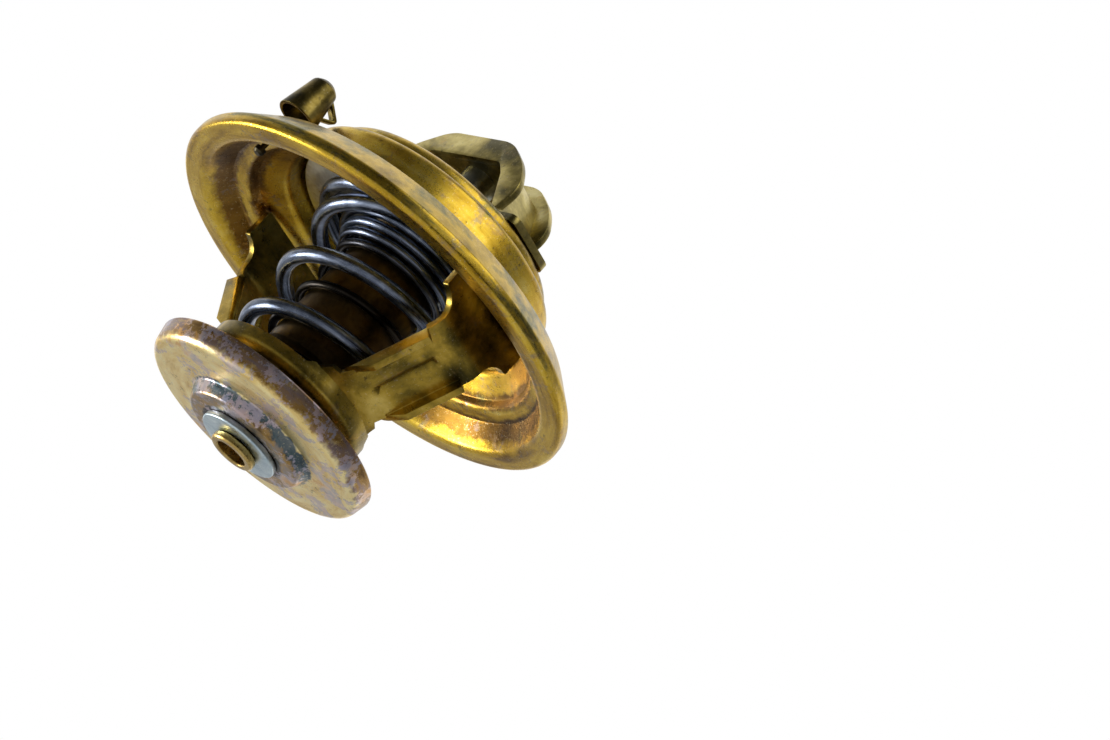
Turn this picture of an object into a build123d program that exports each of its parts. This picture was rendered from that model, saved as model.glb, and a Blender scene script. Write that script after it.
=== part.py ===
from build123d import *
import os
from math import atan2, cos, degrees, radians, sin

os.makedirs("parts", exist_ok=True)

# Engine thermostat of the bypass kind: a pressed hat clamped by its flange, a strap bridge
# over it, a cage under it and a wax capsule that slides down a fixed pin as it warms.
# Millimetres.  Z is the valve's axis and +Z is the bridge side; z = 0 is the clamped face
# of the flange.  The legs of the bridge and of the cage stand on the X axis.

# ---- hat: flange, stepped shoulders, valve wall and seat collar, one pressed piece ----
flange_radius = 33.5
hat_sheet = 1.2
sheet_corner = 0.25         # rounding of every cut edge of sheet
bend_inside = 0.12          # smallest radius inside a tight bend
rim_height = 5.9            # turned-up edge of the flange
rim_wall = 1.9              # height at which it starts to lean inwards
rim_lean = 4.0
face_inner_radius = 29.9
ledge_outer_radius = 27.3
ledge_height = 3.85
ledge_inner_radius = 24.9
shoulder_outer_radius = 24.3
shoulder_height = 5.5
shoulder_inner_radius = 20.9
shoulder_rise = 2.3
valve_wall_radius = 20.4
seat_height = 12.6          # the face that the valve closes against
collar_radius = 18.5
collar_height = 2.2
outlet_radius = 15.0

# ---- air vent: pin in the ledge and hood over it ----
vent_angle = -104.0
vent_radius = 26.45
vent_hole_radius = 0.55
vent_pin_radius = 0.4
vent_head_radius = 0.8
vent_stop_radius = 0.75
vent_head = 1.0
vent_stroke = 0.9
hood_radius = 2.6
hood_sheet = 0.7
hood_bottom = 9.2
hood_shoulder = 14.5
hood_loop_reach = 2.2

# ---- bridge: one strap with ribbed edges ----
bridge_width = 10.0
bridge_sheet = 1.2
bridge_crown_height = 25.9
bridge_crown_half = 7.4
bridge_knee_half = 9.3
bridge_knee_height = 23.9
bridge_leg_half = 14.0
bridge_foot_half = 18.9
rib_crown_height = 29.1
rib_crown_half = 5.4
rib_shoulder_half = 12.4
rib_shoulder_height = 25.6
rib_leg_half = 14.7
rib_leg_top = 22.1
rib_leg_bottom = 17.4

# ---- cage: cup for the springs on two ribbed legs with spread feet ----
cage_sheet = 1.1
cup_inner_radius = 11.8
cup_floor = -18.1
cup_wall_height = 2.6
cup_hole_radius = 9.2
leg_width = 10.6
leg_knee_height = -2.8
foot_half = 21.5
foot_bottom = 0.6
foot_top = 5.45
foot_width = 17.2
foot_fillet = 2.0
foot_corner = 1.0
leg_rib_height = 1.6
leg_rib_run = 3.0
bead_width = 2.0
bead_depth = 0.6
bead_top = -4.6
bead_bottom = -12.6

# ---- main valve ----
valve_radius = 19.9
valve_sheet = 1.0
seal_inner_radius = 16.6
seal_thickness = 1.1
seat_gap = 0.1
valve_step_radius = 11.8
valve_step = 0.6

# ---- wax capsule ----
capsule_radius = 7.2
capsule_wall = 0.8
capsule_bottom = -14.4
crimp_radius = 9.4
guide_flange_radius = 8.5
guide_flange = 2.2
crimp_lip_radius = 7.7
guide_neck_radius = 4.2
guide_top = 20.2
pin_radius = 2.0
pin_clearance = 0.06
pin_bottom = -1.4
sleeve_wall = 1.9
sleeve_floor = 1.6
backing_ring_height = 1.0

# ---- pin seat in the crown of the bridge ----
pin_seat_radius = 2.9
pin_seat_depth = 2.7
pin_seat_rivet_radius = 2.2
pin_seat_rivet_head = 0.6
pin_socket_depth = 1.6

# ---- bypass valve ----
disc_face_radius = 17.6
disc_rim_radius = 18.3
disc_face = -24.8
disc_rim_height = 3.2
disc_sheet = 1.1
boss_base_radius = 10.4
boss_top_radius = 8.9
boss_height = 2.0
stem_radius = 3.0
stem_bore_radius = 2.4
stem_clearance = 0.08
stem_swage_radius = 3.5
stem_end = -29.1
washer_radius = 6.15
washer_thickness = 0.9
rest_gap = 0.05

# ---- springs ----
main_wire = 2.2
main_bottom_radius = 10.3
main_top_radius = 13.1
main_end_radius = 14.9
main_turns = 2.65
main_lift_angle = 186.0
main_foot_turn = 246.0
main_end_turn = 300.0
bypass_wire = 1.3
pack_radius = 9.2
pack_turns = 4.0
pack_pitch = 1.42
bypass_radius = 8.02
bypass_turns = 3.65
bypass_end_radius = 7.2
bypass_end_turns = 1.65
bypass_start = 40.0
bypass_foot_turn = 270.0
pack_step = 1.5

# ---- heights that follow from the sizes above ----
ledge_slope = 0.3
shoulder_top = shoulder_height + shoulder_rise
collar_top = seat_height + collar_height
hat_top = collar_top + hat_sheet
valve_top = seat_height - seat_gap - seal_thickness
valve_bottom = valve_top - valve_sheet
crown_top = bridge_crown_height + bridge_sheet
guide_flange_bottom = valve_top + capsule_wall
guide_flange_top = guide_flange_bottom + guide_flange
bore_radius = pin_radius + pin_clearance
pin_top = bridge_crown_height - pin_seat_depth + pin_socket_depth
boss_face = disc_face - boss_height
washer_top = boss_face - rest_gap
washer_bottom = washer_top - washer_thickness
disc_bore_radius = stem_radius + stem_clearance


def ring(points):
    """Turned solid from a closed outline of (radius, height) points."""
    return revolve(Plane.XZ * make_face(Polyline(*points, close=True)), Axis.Z)


def sheet_face(points, radii, thickness):
    """Flat outline of a bent sheet: a line of bends, thickened on its left hand."""
    steps = [Vector(*b) - Vector(*a) for a, b in zip(points, points[1:])]
    normals = [Vector(-step.Y, step.X).normalized() for step in steps]
    far = [Vector(*points[0]) + normals[0] * thickness]
    far_radii = []
    for point, before, after, radius in zip(points[1:], normals, normals[1:], radii):
        far.append(Vector(*point) + (before + after) * (thickness / (1 + before.dot(after))))
        inward = before.cross(after).Z > 0
        far_radii.append(max(radius - thickness, bend_inside) if inward else radius + thickness)
    far.append(Vector(*points[-1]) + normals[-1] * thickness)
    corners = [*points, *reversed(far)]
    cut = [sheet_corner] * 2
    bends = [sheet_corner, *radii, *cut, *reversed(far_radii), sheet_corner]
    return make_face(FilletPolyline(*corners, radius=bends, close=True))


def turned_sheet(points, radii, thickness):
    return revolve(Plane.XZ * sheet_face(points, radii, thickness), Axis.Z)


def strap(points, radii, thickness, width):
    """Bent strap of one width, its line drawn in the XZ plane."""
    return extrude(Plane.XZ * sheet_face(points, radii, thickness), width / 2, both=True)


def edge_ribs(outline, fillet_radius, rounded, thickness, width):
    """Two flat ribs of one outline along both edges of a strap."""
    face = make_face(Polyline(*outline, close=True))
    corners = [v for v in face.vertices() if any(abs(v.X - x) + abs(v.Y - z) < 0.01 for x, z in rounded)]
    face = Plane.XZ * fillet(corners, fillet_radius)
    inner = width / 2 - thickness
    return [Pos(0, -s * inner, 0) * extrude(face, s * thickness) for s in (1, -1)]


def coil(bottom, top, turns, radius, end_radius, start, wire):
    """One climbing stretch of round wire and the angle at which it ends."""
    height = top - bottom
    cone = degrees(atan2(end_radius - radius, height))
    path = Pos(0, 0, bottom) * Rot(0, 0, start) * Helix(height / turns, height, radius, cone_angle=cone)
    end = path @ 1
    bead = Pos(end) * Sphere(wire / 2)
    solid = sweep(Plane(origin=path @ 0, z_dir=path % 0) * Circle(wire / 2), path)
    return [solid, bead], degrees(atan2(end.Y, end.X))


def flat_coil(height, radius, start, turn, wire, drift=0):
    """One level stretch of wire; drift moves its centre away from the axis, opposite to its start."""
    centre = (-drift * cos(radians(start)), -drift * sin(radians(start)), height)
    path = CenterArc(centre, radius, start, turn)
    return [sweep(Plane(origin=path @ 0, z_dir=path % 0) * Circle(wire / 2), path),
            Pos(path @ 0) * Sphere(wire / 2), Pos(path @ 1) * Sphere(wire / 2)]


# ---- hat ----
hat_line = [
    (outlet_radius, collar_top),
    (collar_radius, collar_top),
    (collar_radius, seat_height),
    (valve_wall_radius, seat_height),
    (shoulder_inner_radius, shoulder_top),
    (shoulder_outer_radius, shoulder_height),
    (ledge_inner_radius, ledge_height + ledge_slope),
    (ledge_outer_radius, ledge_height),
    (face_inner_radius, 0),
    (flange_radius, 0),
    (flange_radius, rim_wall),
    (flange_radius - rim_lean, rim_height),
]
hat_bends = [0.6, 1.4, 0.4, 1.6, 0.6, 1.3, 0.6, 1.5, 0.8, 0.8]
flange_hat = turned_sheet(hat_line, hat_bends, hat_sheet)
vent_place = Rot(0, 0, vent_angle) * Pos(vent_radius, 0, 0)
flange_hat -= vent_place * Pos(0, 0, ledge_height) * Cylinder(vent_hole_radius, 4 * hat_sheet)

# ---- cage ----
cup_line = [
    (cup_hole_radius, cup_floor - cage_sheet),
    (cup_inner_radius + cage_sheet, cup_floor - cage_sheet),
    (cup_inner_radius + cage_sheet, cup_floor + cup_wall_height),
]
leg_line = [
    (cup_inner_radius + cage_sheet, cup_floor),
    (cup_inner_radius + cage_sheet, cup_floor + cup_wall_height),
    (foot_half + cage_sheet, leg_knee_height),
    (foot_half + cage_sheet, foot_top),
]
leg_bends = [3.0, 3.0]
cage_frame = turned_sheet(cup_line, [2.0], cage_sheet)
leg = strap(leg_line, leg_bends, cage_sheet, leg_width)

# ribs stand out from both edges of a leg and run out at its ends
leg_slope = Vector(foot_half - cup_inner_radius, leg_knee_height - cup_floor - cup_wall_height).normalized()
leg_normal = Vector(leg_slope.Y, -leg_slope.X)
rib_foot = Vector(cup_inner_radius + cage_sheet / 2, cup_floor + cup_wall_height)
rib_head = Vector(foot_half + cage_sheet / 2, leg_knee_height)
rib_reach = leg_normal * (cage_sheet / 2 + leg_rib_height)
rib_outline = [
    rib_foot,
    rib_foot + leg_slope * leg_rib_run + rib_reach,
    rib_head - leg_slope * leg_rib_run + rib_reach,
    rib_head,
]
rib_face = Plane.XZ * make_face(Polyline(*rib_outline, close=True))
for s in (1, -1):
    leg += Pos(0, s * (leg_width - cage_sheet) / 2, 0) * extrude(rib_face, cage_sheet / 2, both=True)

# a pressed bead down the middle of each leg: a groove outside, a swelling inside
def along_leg(height):
    share = (height - cup_floor - cup_wall_height) / (leg_knee_height - cup_floor - cup_wall_height)
    return cup_inner_radius + share * (foot_half - cup_inner_radius)

bead_middle = (bead_top + bead_bottom) / 2
bead_place = Plane(origin=(along_leg(bead_middle), 0, bead_middle),
                   x_dir=(leg_slope.X, 0, leg_slope.Y), z_dir=(leg_normal.X, 0, leg_normal.Y))
bead_length = (bead_top - bead_bottom) / leg_slope.Y
swelling = bead_place * Pos(0, 0, bead_depth / 2) * Box(
    bead_length + cage_sheet, bead_width + cage_sheet, 3 * bead_depth)
groove = bead_place * Pos(0, 0, cage_sheet + bead_depth) * Box(bead_length, bead_width, 4 * bead_depth)
leg = leg + swelling - groove

# spread foot that stands inside the hat
foot_outline = Pos(0, (foot_top + foot_bottom) / 2) * RectangleRounded(foot_width, foot_top - foot_bottom, foot_corner)
foot_neck = foot_bottom - foot_fillet - 0.1
foot_outline += Pos(0, (foot_top + foot_neck) / 2) * Rectangle(leg_width, foot_top - foot_neck)
armpits = [v for v in foot_outline.vertices()
           if abs(abs(v.X) - leg_width / 2) < 0.01 and abs(v.Y - foot_bottom) < 0.01]
foot_outline = fillet(armpits, foot_fillet)
leg += Plane(origin=(foot_half, 0, 0), x_dir=(0, 1, 0), z_dir=(1, 0, 0)) * extrude(foot_outline, cage_sheet)
cage_frame += [leg, Rot(0, 0, 180) * leg]
cage_frame -= Pos(0, 0, cup_floor) * Cylinder(cup_hole_radius, 4 * cage_sheet)

# ---- bridge ----
half_line = [
    (bridge_foot_half, hat_top),
    (bridge_leg_half, hat_top),
    (bridge_knee_half, bridge_knee_height),
    (bridge_crown_half, bridge_crown_height),
]
bridge_line = [(-x, z) for x, z in half_line] + [*reversed(half_line)]
bridge_bends = [1.2, 2.2, 2.2]
top_bridge = strap(bridge_line, [*bridge_bends, *reversed(bridge_bends)], bridge_sheet, bridge_width)
rib_half = [
    (rib_crown_half, rib_crown_height),
    (rib_shoulder_half, rib_shoulder_height),
    (rib_leg_half, rib_leg_top),
    (rib_leg_half - bridge_sheet, rib_leg_bottom),
]
inner_half = [
    (bridge_leg_half - bridge_sheet / 2, rib_leg_bottom),
    (bridge_knee_half + bridge_sheet / 2, bridge_knee_height),
    (bridge_crown_half, bridge_crown_height + bridge_sheet / 2),
]
crown_outline = [*rib_half, *inner_half]
crown_outline += [(-x, z) for x, z in reversed(crown_outline)]
top_bridge += edge_ribs(crown_outline, 1.6, rib_half[:3] + [(-x, z) for x, z in rib_half[:3]],
                        bridge_sheet, bridge_width)
top_bridge -= Pos(0, 0, crown_top) * Cylinder(pin_seat_rivet_radius, 4 * bridge_sheet)

# ---- pin and its seat in the crown ----
pin_seat = ring([
    (0, bridge_crown_height - pin_seat_depth + pin_socket_depth),
    (bore_radius, bridge_crown_height - pin_seat_depth + pin_socket_depth),
    (bore_radius, bridge_crown_height - pin_seat_depth),
    (pin_seat_radius, bridge_crown_height - pin_seat_depth),
    (pin_seat_radius, bridge_crown_height),
    (pin_seat_rivet_radius, bridge_crown_height),
    (pin_seat_rivet_radius, crown_top),
    (pin_seat_radius, crown_top),
    (pin_seat_rivet_radius, crown_top + pin_seat_rivet_head),
    (0, crown_top + pin_seat_rivet_head),
])
piston_pin = Pos(0, 0, pin_bottom) * Cylinder(
    pin_radius, pin_top - pin_bottom, align=(Align.CENTER, Align.CENTER, Align.MIN))
piston_pin = chamfer(piston_pin.edges().filter_by(GeomType.CIRCLE), 0.35)

# ---- main valve ----
main_valve_disc = ring([
    (capsule_radius, valve_bottom + valve_step),
    (valve_step_radius, valve_bottom + valve_step),
    (valve_step_radius + valve_step, valve_bottom),
    (valve_radius, valve_bottom),
    (valve_radius, valve_top),
    (valve_step_radius + valve_step, valve_top),
    (valve_step_radius, valve_top + valve_step),
    (capsule_radius, valve_top + valve_step),
])
valve_seal = ring([
    (seal_inner_radius, valve_top),
    (valve_radius - 0.15, valve_top),
    (valve_radius, valve_top + seal_thickness * 0.4),
    (valve_radius - 0.3, valve_top + seal_thickness),
    (seal_inner_radius + 0.5, valve_top + seal_thickness),
])

# ---- wax capsule: cup crimped over the guide ----
crimp_bottom = valve_top + valve_step
crimp_top = crimp_bottom + capsule_wall + guide_flange
capsule_bore = capsule_radius - capsule_wall
element_cup = ring([
    (0, capsule_bottom),
    (capsule_radius - 1.2, capsule_bottom),
    (capsule_radius, capsule_bottom + 1.2),
    (capsule_radius, crimp_bottom),
    (crimp_radius, crimp_bottom),
    (crimp_radius, crimp_top + capsule_wall - 0.3),
    (crimp_radius - 0.3, crimp_top + capsule_wall),
    (crimp_lip_radius, crimp_top + capsule_wall),
    (crimp_lip_radius, crimp_top),
    (guide_flange_radius, crimp_top),
    (guide_flange_radius, crimp_bottom + capsule_wall),
    (capsule_bore, crimp_bottom + capsule_wall),
    (capsule_bore, capsule_bottom + capsule_wall),
    (0, capsule_bottom + capsule_wall),
])
sleeve_radius = bore_radius + sleeve_wall
backing_top = crimp_bottom + capsule_wall
sleeve_top = backing_top - backing_ring_height
element_guide = ring([
    (bore_radius, backing_top),
    (guide_flange_radius, backing_top),
    (guide_flange_radius, crimp_top),
    (guide_neck_radius + 0.8, crimp_top),
    (guide_neck_radius, crimp_top + 0.8),
    (guide_neck_radius, guide_top - 0.6),
    (guide_neck_radius - 0.6, guide_top),
    (bore_radius, guide_top),
])
backing_ring = ring([
    (bore_radius, sleeve_top),
    (capsule_bore, sleeve_top),
    (capsule_bore, backing_top),
    (bore_radius, backing_top),
])
sleeve_bottom = pin_bottom - sleeve_floor
rubber_sleeve = ring([
    (0, sleeve_bottom),
    (sleeve_radius - 1.2, sleeve_bottom),
    (sleeve_radius, sleeve_bottom + 1.6),
    (sleeve_radius, sleeve_top - sleeve_wall),
    (capsule_bore, sleeve_top - sleeve_wall / 2),
    (capsule_bore, sleeve_top),
    (bore_radius, sleeve_top),
    (bore_radius, pin_bottom - pin_clearance),
    (0, pin_bottom - pin_clearance),
])
wax_charge = ring([
    (0, capsule_bottom + capsule_wall),
    (capsule_bore, capsule_bottom + capsule_wall),
    (capsule_bore, sleeve_top - sleeve_wall / 2),
    (sleeve_radius, sleeve_top - sleeve_wall),
    (sleeve_radius, sleeve_bottom + 1.6),
    (sleeve_radius - 1.2, sleeve_bottom),
    (0, sleeve_bottom),
])

# ---- bypass valve ----
disc_line = [
    (disc_bore_radius, boss_face),
    (boss_top_radius, boss_face),
    (boss_base_radius, disc_face),
    (disc_face_radius, disc_face),
    (disc_rim_radius, disc_face + disc_rim_height),
]
bypass_disc = turned_sheet(disc_line, [1.3, 1.3, 1.4], disc_sheet)
bypass_stem = ring([
    (0, capsule_bottom),
    (stem_radius, capsule_bottom),
    (stem_radius, washer_bottom),
    (stem_swage_radius, washer_bottom - 0.35),
    (stem_swage_radius, stem_end + 0.35),
    (stem_swage_radius - 0.35, stem_end),
    (stem_bore_radius, stem_end),
    (stem_bore_radius, capsule_bottom - 1.5),
    (0, capsule_bottom - 2.4),
])
retaining_washer = ring([
    (disc_bore_radius, washer_bottom),
    (washer_radius - 0.2, washer_bottom),
    (washer_radius, washer_bottom + 0.2),
    (washer_radius, washer_top),
    (disc_bore_radius, washer_top),
])

# ---- air vent ----
ledge_at_vent = ledge_height + ledge_slope * (ledge_outer_radius - vent_radius) / (
    ledge_outer_radius - ledge_inner_radius)
vent_seat = ledge_at_vent + hat_sheet + rest_gap + 0.1
vent_low = ledge_at_vent - rest_gap - vent_stroke - 0.25
vent_pin = vent_place * ring([
    (0, vent_low - vent_head),
    (vent_head_radius - 0.3, vent_low - vent_head),
    (vent_head_radius, vent_low - vent_head + 0.3),
    (vent_head_radius, vent_low),
    (vent_pin_radius, vent_low),
    (vent_pin_radius, vent_seat),
    (vent_stop_radius, vent_seat),
    (vent_stop_radius, vent_seat + vent_head),
    (vent_stop_radius / 2, vent_seat + 1.5 * vent_head),
    (0, vent_seat + 1.5 * vent_head),
])
hood_inner = hood_radius - hood_sheet
hood = Pos(0, 0, hood_bottom) * Cylinder(
    hood_radius, hood_shoulder - hood_bottom, align=(Align.CENTER, Align.CENTER, Align.MIN))
hood += Pos(0, 0, hood_shoulder) * Sphere(hood_radius)
hollow = Pos(0, 0, hood_bottom - 1) * Cylinder(
    hood_inner, hood_shoulder - hood_bottom + 1, align=(Align.CENTER, Align.CENTER, Align.MIN))
hollow += Pos(0, 0, hood_shoulder) * Sphere(hood_inner)
tongue_bottom = shoulder_height + hat_sheet / 2
tongue = Pos(-hood_radius + hood_sheet / 2, 0, tongue_bottom) * Box(
    hood_sheet, 1.5 * hood_radius, hood_bottom - tongue_bottom + hood_sheet,
    align=(Align.CENTER, Align.CENTER, Align.MIN))
loop_line = [
    (-hood_radius + 0.3, hood_shoulder + 0.6),
    (-hood_radius - hood_loop_reach, hood_shoulder - 0.4),
    (-hood_radius + 0.3, hood_bottom + 2.2),
]
loop = strap(loop_line, [0.6], hood_sheet * 0.7, 1.4)
vent_hood = vent_place * (hood + tongue + loop - hollow) - flange_hat

# ---- springs ----
main_foot = cup_floor + main_wire / 2 + rest_gap
main_head = valve_bottom - main_wire / 2 - rest_gap
main_climb, main_end = coil(main_foot, main_head, main_turns, main_bottom_radius, main_top_radius,
                            main_lift_angle, main_wire)
main_drift = (main_end_radius - main_top_radius) / 2
main_spring = Part() + [
    *flat_coil(main_foot, main_bottom_radius, main_lift_angle - main_foot_turn, main_foot_turn, main_wire),
    *main_climb,
    *flat_coil(main_head, main_top_radius + main_drift, main_end, 180, main_wire, main_drift),
    *flat_coil(main_head, main_end_radius, main_end + 180, main_end_turn - 180, main_wire),
]

bypass_foot = boss_face + disc_sheet + bypass_wire / 2 + rest_gap
bypass_head = valve_bottom + valve_step - bypass_wire / 2 - rest_gap
pack_bottom = bypass_head - pack_turns * pack_pitch
neck_top = capsule_bottom - bypass_wire
foot_climb, angle = coil(bypass_foot, neck_top, bypass_end_turns, bypass_end_radius, bypass_radius,
                         bypass_start, bypass_wire)
body_climb, angle = coil(neck_top, pack_bottom - pack_step, bypass_turns, bypass_radius, bypass_radius,
                         angle, bypass_wire)
step_climb, angle = coil(pack_bottom - pack_step, pack_bottom, 0.5, bypass_radius, pack_radius,
                         angle, bypass_wire)
pack_climb, angle = coil(pack_bottom, bypass_head, pack_turns, pack_radius, pack_radius,
                         angle, bypass_wire)
bypass_spring = Part() + [
    *flat_coil(bypass_foot, bypass_end_radius, bypass_start - bypass_foot_turn, bypass_foot_turn, bypass_wire),
    *foot_climb, *body_climb, *step_climb, *pack_climb,
]

nodes = {
    "flange_hat": flange_hat,
    "cage_frame": cage_frame,
    "top_bridge": top_bridge,
    "pin_seat": pin_seat,
    "piston_pin": piston_pin,
    "main_valve_disc": main_valve_disc,
    "valve_seal": valve_seal,
    "element_cup": element_cup,
    "element_guide": element_guide,
    "backing_ring": backing_ring,
    "rubber_sleeve": rubber_sleeve,
    "wax_charge": wax_charge,
    "bypass_disc": bypass_disc,
    "bypass_stem": bypass_stem,
    "retaining_washer": retaining_washer,
    "vent_pin": vent_pin,
    "vent_hood": vent_hood,
    "main_spring": main_spring,
    "bypass_spring": bypass_spring,
}
for name, shape in nodes.items():
    export_step(shape, f"parts/{name}.step")
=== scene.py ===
import math
import bmesh
import bpy
from mathutils import Matrix, Vector


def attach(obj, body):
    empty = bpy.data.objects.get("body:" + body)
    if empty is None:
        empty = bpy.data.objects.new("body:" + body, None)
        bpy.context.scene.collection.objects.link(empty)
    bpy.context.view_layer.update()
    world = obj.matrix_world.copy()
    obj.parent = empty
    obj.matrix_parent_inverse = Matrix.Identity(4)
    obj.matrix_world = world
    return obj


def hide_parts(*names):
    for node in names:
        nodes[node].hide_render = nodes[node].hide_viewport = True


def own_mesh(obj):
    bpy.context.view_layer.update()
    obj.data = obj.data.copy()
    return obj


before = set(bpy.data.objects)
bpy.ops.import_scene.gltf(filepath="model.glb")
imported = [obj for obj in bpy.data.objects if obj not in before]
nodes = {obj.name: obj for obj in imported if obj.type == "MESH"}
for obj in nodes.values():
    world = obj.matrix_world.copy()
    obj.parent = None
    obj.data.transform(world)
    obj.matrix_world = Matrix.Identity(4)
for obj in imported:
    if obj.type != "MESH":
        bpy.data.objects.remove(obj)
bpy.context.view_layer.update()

MM = 0.001
scene = bpy.context.scene


# ---------------------------------------------------------------- outlines and meshes

def arc_corner(before, corner, after, radius, steps):
    """Points of the arc that rounds one corner of an outline."""
    a, b = Vector(before) - Vector(corner), Vector(after) - Vector(corner)
    if radius <= 0 or a.length < 1e-6 or b.length < 1e-6:
        return [tuple(corner)]
    a.normalize()
    b.normalize()
    angle = a.angle(b)
    if angle > math.pi - 0.02:
        return [tuple(corner)]
    reach = radius / math.tan(angle / 2)
    start, end = Vector(corner) + a * reach, Vector(corner) + b * reach
    centre = Vector(corner) + (a + b).normalized() * radius / math.sin(angle / 2)
    first = start - centre
    sweep = (end - centre).angle(first)
    turn = 1 if first.x * (end - centre).y - first.y * (end - centre).x > 0 else -1
    out = []
    for i in range(steps + 1):
        t = turn * sweep * i / steps
        out.append((centre.x + first.x * math.cos(t) - first.y * math.sin(t),
                    centre.y + first.x * math.sin(t) + first.y * math.cos(t)))
    return out


def rounded(points, radii, steps=5, closed=False):
    """An outline with each of its corners rounded to its own radius."""
    out, count = [], len(points)
    for i, (point, radius) in enumerate(zip(points, radii)):
        if not closed and i in (0, count - 1):
            out.append(tuple(point))
        else:
            out += arc_corner(points[i - 1], point, points[(i + 1) % count], radius, steps)
    return out


def sheet_section(points, radii, thickness, cut=0.25, steps=5):
    """Closed section of bent sheet, thickened on the left hand of its line."""
    line = [Vector(p) for p in points]
    normals = []
    for a, b in zip(line, line[1:]):
        step = (b - a).normalized()
        normals.append(Vector((-step.y, step.x)))
    far, far_radii = [line[0] + normals[0] * thickness], []
    for i, (before, after) in enumerate(zip(normals, normals[1:])):
        far.append(line[i + 1] + (before + after) * (thickness / (1 + before.dot(after))))
        inward = before.x * after.y - before.y * after.x > 0
        far_radii.append(max(radii[i] - thickness, 0.12) if inward else radii[i] + thickness)
    far.append(line[-1] + normals[-1] * thickness)
    corners = [*line, *reversed(far)]
    bends = [cut, *radii, cut, cut, *reversed(far_radii), cut]
    return rounded([tuple(c) for c in corners], bends, steps, closed=True)


def finish_mesh(name, mesh, material, sharp=38):
    """Visible piece from a mesh, smooth but for the edges that turn sharply."""
    mesh.materials.clear()
    mesh.materials.append(material)
    mesh.polygons.foreach_set("use_smooth", [True] * len(mesh.polygons))
    mesh.set_sharp_from_angle(angle=math.radians(sharp))
    mesh.update()
    piece = bpy.data.objects.new(name, mesh)
    scene.collection.objects.link(piece)
    return piece


def mesh_from(shape, name):
    """Mesh of a closed shape, without doubled points and with its faces turned outwards."""
    bmesh.ops.remove_doubles(shape, verts=shape.verts, dist=1e-8)
    bmesh.ops.dissolve_degenerate(shape, dist=1e-8, edges=shape.edges)
    bmesh.ops.recalc_face_normals(shape, faces=shape.faces)
    mesh = bpy.data.meshes.new(name)
    shape.to_mesh(mesh)
    shape.free()
    return mesh


def turned(name, outline, material, segments=240, sharp=38):
    """Turned or spun piece from its closed outline of (radius, height) in mm."""
    shape = bmesh.new()
    turns = [2 * math.pi * i / segments for i in range(segments)]
    rings = [[shape.verts.new((r * MM * math.cos(t), r * MM * math.sin(t), z * MM)) for t in turns]
             for r, z in outline]
    for a, b in zip(rings, [*rings[1:], rings[0]]):
        for i in range(segments):
            j = (i + 1) % segments
            shape.faces.new((a[i], a[j], b[j], b[i]))
    return finish_mesh(name, mesh_from(shape, name), material, sharp)


def stations(points, radii, step):
    """Evenly spaced (point, normal, length so far) along a rounded line.

    The normals lie on the right hand of the line.
    """
    line = [Vector(p) for p in rounded(points, [0, *radii, 0], 10)]
    lengths = [0.0]
    for a, b in zip(line, line[1:]):
        lengths.append(lengths[-1] + (b - a).length)
    count = max(2, round(lengths[-1] / step))
    out, k = [], 0
    for i in range(count + 1):
        want = lengths[-1] * i / count
        while k < len(lengths) - 2 and lengths[k + 1] < want:
            k += 1
        t = (want - lengths[k]) / max(lengths[k + 1] - lengths[k], 1e-9)
        point = line[k].lerp(line[k + 1], min(max(t, 0), 1))
        out.append([point, None, want])
    for i, row in enumerate(out):
        a, b = out[max(i - 1, 0)][0], out[min(i + 1, count)][0]
        d = (b - a).normalized()
        row[1] = Vector((d.y, -d.x))
    return out


def softened(piece, width, segments, angle):
    """Break the edges of a piece that turn by more than an angle."""
    edge = piece.modifiers.new("edge", "BEVEL")
    edge.width = width * MM
    edge.segments = segments
    edge.limit_method = "ANGLE"
    edge.angle_limit = math.radians(angle)


def taken_mesh(piece):
    """Mesh of a helper piece with its modifiers applied; the helper itself is deleted."""
    view = bpy.context.evaluated_depsgraph_get()
    mesh = bpy.data.meshes.new_from_object(piece.evaluated_get(view))
    bpy.data.objects.remove(piece)
    return mesh


def sheet_piece(rows, thickness, name):
    """Solid bent sheet from rows of points; the sheet lies on the out side of the rows."""
    shape = bmesh.new()
    grid = [[shape.verts.new([c * MM for c in p]) for p in row] for row in rows]
    for a, b in zip(grid, grid[1:]):
        for i in range(len(a) - 1):
            shape.faces.new((a[i], a[i + 1], b[i + 1], b[i]))
    mesh = bpy.data.meshes.new(name)
    shape.to_mesh(mesh)
    shape.free()
    temp = bpy.data.objects.new(name + "_sheet", mesh)
    scene.collection.objects.link(temp)
    solid = temp.modifiers.new("gauge", "SOLIDIFY")
    solid.thickness = thickness * MM
    solid.offset = 1
    solid.use_even_offset = False
    softened(temp, 0.2, 3, 50)
    return taken_mesh(temp)


def joined(name, meshes, material, sharp=38):
    """One piece of several meshes."""
    shape = bmesh.new()
    for mesh in meshes:
        shape.from_mesh(mesh)
    mesh = bpy.data.meshes.new(name)
    shape.to_mesh(mesh)
    shape.free()
    return finish_mesh(name, mesh, material, sharp)


# ---------------------------------------------------------------- finishes

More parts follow.
